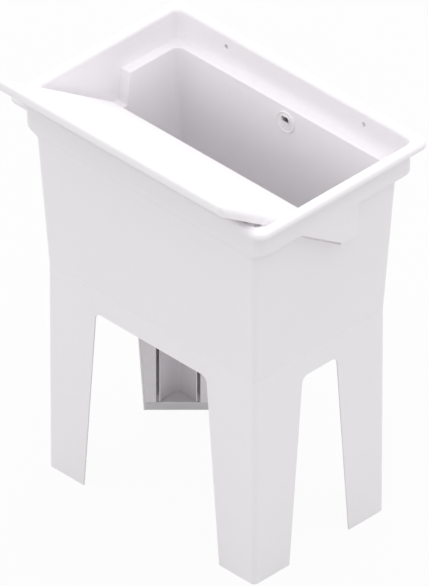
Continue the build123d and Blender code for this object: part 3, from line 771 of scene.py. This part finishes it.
def makeBoard():
    # a slab with cells cut into its underside, and sockets for the tub's nibs
    size = boardSizes
    slant = math.sqrt(1 + boardSlope ** 2)
    lift, drop = size["thickness"] * slant, size["thickness"] / slant
    front, back, half = size["front"], size["back"], boardLength / 2
    lowY = back - drop * boardSlope
    outline = [(front, seat(front)), (front, seat(front) + lift),
               (back, seat(back) + lift), (lowY, seat(lowY))]
    board = prismX("washing_board", outline, -half, half)
    depth = (lowY - front) * slant
    frameWide, rib = size["frame"], size["rib"]
    cellX = (boardLength - 2 * frameWide - (size["cellsLong"] - 1) * rib) / size["cellsLong"]
    cellY = (depth - 2 * frameWide - (size["cellsDeep"] - 1) * rib) / size["cellsDeep"]
    tilt = Matrix.Translation((0, lowY, seat(lowY))) @ Matrix.Rotation(-math.atan(boardSlope), 4, "X")
    for row in range(size["cellsDeep"]):
        y = -frameWide - cellY / 2 - row * (cellY + rib)
        for column in range(size["cellsLong"]):
            x = -half + frameWide + cellX / 2 + column * (cellX + rib)
            loops = [[tuple(tilt @ Vector((x + across * cellX / 2, y + along * cellY / 2, height)))
                      for across, along in ((-1, -1), (1, -1), (1, 1), (-1, 1))]
                     for height in (-over, size["thickness"] - size["skin"])]
            cut(board, stack("cell", loops))
    for side in (-1, 1):
        for y in tubSizes["nibY"]:
            socket = onSeatBlock(y, size["socketHalf"], size["socketFoot"], size["socketTop"])
            start = side * seatEdge
            cut(board, prismX("socket", socket, start - side * over, start + side * size["socketReach"]))
    return soften(board, boardRounding, size["topRadius"], 5)


board = makeBoard()
print("board done", len(board.data.polygons))


coverSizes = {"radius": 22.5, "thickness": 3.0, "rimRadius": 1.6, "band": 2.4, "face": 1.8, "dome": 0.2,
              "slotLong": 20.0, "slotWide": 12.0, "slotRise": 6.5,
              "lip": 1.5, "lipHeight": 4.0, "sunk": 0.4,
              "spigot": 12.0, "spigotWall": 1.5, "spigotLength": 9.5, "rounding": 0.6, "sharp": 40.0}


def slotLoop(length, width, rise, height, steps=12):
    # a slot's outline about the cover's axis
    radius, reach = width / 2, (length - width) / 2
    points = []
    for turn, x in ((-90, reach), (90, -reach)):
        for step in range(steps + 1):
            angle = math.radians(turn + 180 * step / steps)
            points.append((x + radius * math.cos(angle), rise + radius * math.sin(angle), height))
    return points


def onAxis(place, loops):
    return [[tuple(place @ Vector(point)) for point in loop] for loop in loops]


def makeCover():
    # a disc with a rolled rim, a raised lip round its slot and the spigot that goes through the wall
    size = coverSizes
    axis = overflowAxis()
    radius, face, top, roll = size["radius"], size["face"], size["thickness"], size["rimRadius"]
    turns = [math.radians(turn) for turn in range(90, -91, -15)]
    rim = [(radius - roll + roll * math.sin(turn), top - roll + roll * math.cos(turn)) for turn in turns]
    middle = [(radius - size["band"] * roll, face), (0.5, face + size["dome"])]
    cover = turnedStack("overflow_face", [(radius, 0.0)] + rim + middle, axis, 72)
    long, wide, rise, lip = size["slotLong"], size["slotWide"], size["slotRise"], 2 * size["lip"]
    sunk, lipHeight, length = size["sunk"], size["lipHeight"], size["spigotLength"]
    lips = [slotLoop(long + lip, wide + lip, rise, height) for height in (sunk, lipHeight)]
    add(cover, stack("lip", onAxis(axis, lips)))
    add(cover, rod("spigot", size["spigot"], (-length, 0.6), axis, 40))
    slots = [slotLoop(long, wide, rise, height) for height in (-sunk, lipHeight + over)]
    cut(cover, stack("slot", onAxis(axis, slots)))
    cut(cover, rod("bore", size["spigot"] - size["spigotWall"], (-length - over, 0.1), axis, 40))
    return softenAll(cover, size["rounding"], size["sharp"])


cover = makeCover()
print("cover done", len(cover.data.polygons))

fit(tub, materials["tubPlastic"], "sink", "tub_plastic", "tub")
fit(stand, materials["standPlastic"], "sink", "stand_plastic", "stand")
for node, pad in feet.items():
    fit(pad, materials["padPlastic"], "sink", "stand_plastic", node)
fit(board, materials["boardPlastic"], "board", "board_plastic", "washboard")
fit(cover, materials["coverPlastic"], "sink", "cover_plastic", "overflow_cover")

plumbing = {
    "pipePlastic": ("waste_body", "overflow_body", "overflow_pipe", "trap_inlet_pipe", "trap_body",
                    "trap_cup", "trap_outlet_pipe"),
    "nutPlastic": ("overflow_top_nut", "overflow_bottom_nut", "trap_inlet_nut", "trap_gland_nut",
                   "trap_outlet_nut"),
    "sealRubber": ("strainer_seal", "waste_seal", "overflow_seal", "overflow_top_seal",
                   "overflow_bottom_seal", "trap_inlet_washer", "trap_gland_seal", "trap_cup_seal",
                   "trap_outlet_seal"),
    "plugRubber": ("drain_plug",),
    "strainerSteel": ("strainer_dish", "waste_screw"),
    "screwZinc": ("stand_screws",),
    "insertBrass": ("waste_nut",),
}
brokenEdge = {"width": 0.4, "segments": 2, "angle": 35.0}


def dress(node, material):
    # a carried-over part keeps its shape, with its edges broken and its round faces shaded smooth
    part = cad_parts[node]
    part.data.materials.clear()
    part.data.materials.append(material)
    weld = part.modifiers.new("weld", "WELD")
    weld.merge_threshold = 0.02 * mm
    bevel = part.modifiers.new("brokenEdge", "BEVEL")
    bevel.width = brokenEdge["width"] * mm
    bevel.segments = brokenEdge["segments"]
    bevel.limit_method = "ANGLE"
    bevel.angle_limit = math.radians(brokenEdge["angle"])
    bevel.use_clamp_overlap = True
    part.modifiers.new("evenShading", "WEIGHTED_NORMAL")


for finish, nodes in plumbing.items():
    for node in nodes:
        dress(node, materials[finish])
print("plumbing dressed")


studio = {"floorSize": 24.0, "floorColour": (0.66, 0.66, 0.66, 1), "floorSpeckle": (0.64, 0.64, 0.64, 1),
          "cameraWhite": 0.94, "even": 0.25, "overhead": 1.1,
          "glows": (((-0.65, -0.75, 0.15), 3.0, 0.42), ((0.87, 0.1, 0.48), 3.0, 0.16),
                    ((-0.2, 0.92, 0.34), 4.0, 0.7))}


def makeFloor():
    # grey to the light and near white to the camera
    sheet = Sheet(bpy.data.materials.new("floorPaint"))
    rays = sheet.node("ShaderNodeLightPath", {}, {})  # 0 camera, 3 glossy, 6 transmission
    seen = (rays[0] + rays[3] + rays[6]).clamp() * studio["cameraWhite"]
    speckle = noise(sheet, objectPlace(sheet), 30.0)
    paint = mixColour(sheet, speckle, studio["floorColour"], studio["floorSpeckle"])
    matt = sheet.node("ShaderNodeBsdfDiffuse", {}, {"Color": paint})[0]
    white = sheet.node("ShaderNodeEmission", {}, {"Color": (1, 1, 1, 1), "Strength": 1.0})[0]
    above = sheet.node("ShaderNodeMixShader", {}, {0: seen, 1: matt, 2: white})[0]
    clear = sheet.node("ShaderNodeBsdfTransparent", {}, {})[0]
    below = sheet.node("ShaderNodeNewGeometry", {}, {})[6]  # from underneath the floor can't be seen
    mixed = sheet.node("ShaderNodeMixShader", {}, {0: below, 1: above, 2: clear})[0]
    mesh = bpy.data.meshes.new("floor")
    half = studio["floorSize"] / 2
    corners = [(-half, -half, 0), (half, -half, 0), (half, half, 0), (-half, half, 0)]
    mesh.from_pydata(corners, [], [(0, 1, 2, 3)])
    mesh.materials.append(sheet.finish(mixed))
    floor = bpy.data.objects.new("floor", mesh)
    bpy.context.scene.collection.objects.link(floor)


def makeWorld():
    # a soft box overhead with a few wide glows, and plain white where the camera looks
    sheet = Sheet(bpy.data.worlds.new("studioWorld"), "ShaderNodeOutputWorld")
    way = sheet.node("ShaderNodeTexCoord", {}, {})[0]  # in a world, the direction looked in
    up = sheet.node("ShaderNodeSeparateXYZ", {}, {0: way})[2].clamp()
    strength = up * studio["overhead"] + studio["even"]
    for towards, power, weight in studio["glows"]:
        product = sheet.node("ShaderNodeVectorMath", {"operation": "DOT_PRODUCT"}, {0: way, 1: towards})
        strength = strength + product[1].clamp() ** power * weight
    rays = sheet.node("ShaderNodeLightPath", {}, {})
    light = sheet.node("ShaderNodeBackground", {}, {"Color": (1, 1, 1, 1), "Strength": strength})[0]
    backdrop = sheet.node("ShaderNodeBackground", {}, {"Color": (1, 1, 1, 1), "Strength": 1.0})[0]
    mixed = sheet.node("ShaderNodeMixShader", {}, {0: rays[0], 1: light, 2: backdrop})[0]
    bpy.context.scene.world = sheet.finish(mixed)


shot = {"aim": (-0.003, 0.02385, 0.4495), "azimuth": 45.0, "elevation": 35.264, "lens": 1200.0,
        "sensor": 36.0, "viewHeight": 1.101, "clip": (0.1, 200.0)}


def makeCamera():
    # a very long lens, since the photo is drawn without perspective
    turn = math.radians(shot["azimuth"])
    tilt = math.radians(shot["elevation"])
    back = Vector((math.sin(turn) * math.cos(tilt), -math.cos(turn) * math.cos(tilt), math.sin(tilt)))
    lens = bpy.data.cameras.new("photoCamera")
    lens.lens = shot["lens"]
    lens.sensor_width = shot["sensor"]
    lens.clip_start, lens.clip_end = shot["clip"]
    camera = bpy.data.objects.new("photoCamera", lens)
    camera.location = Vector(shot["aim"]) + back * (shot["viewHeight"] * shot["lens"] / shot["sensor"])
    camera.rotation_mode = "QUATERNION"
    camera.rotation_quaternion = (-back).to_track_quat("-Z", "Y")
    bpy.context.scene.collection.objects.link(camera)
    bpy.context.scene.camera = camera


makeFloor()
makeWorld()
makeCamera()
bpy.context.scene.view_settings.view_transform = "Standard"
print("studio done")
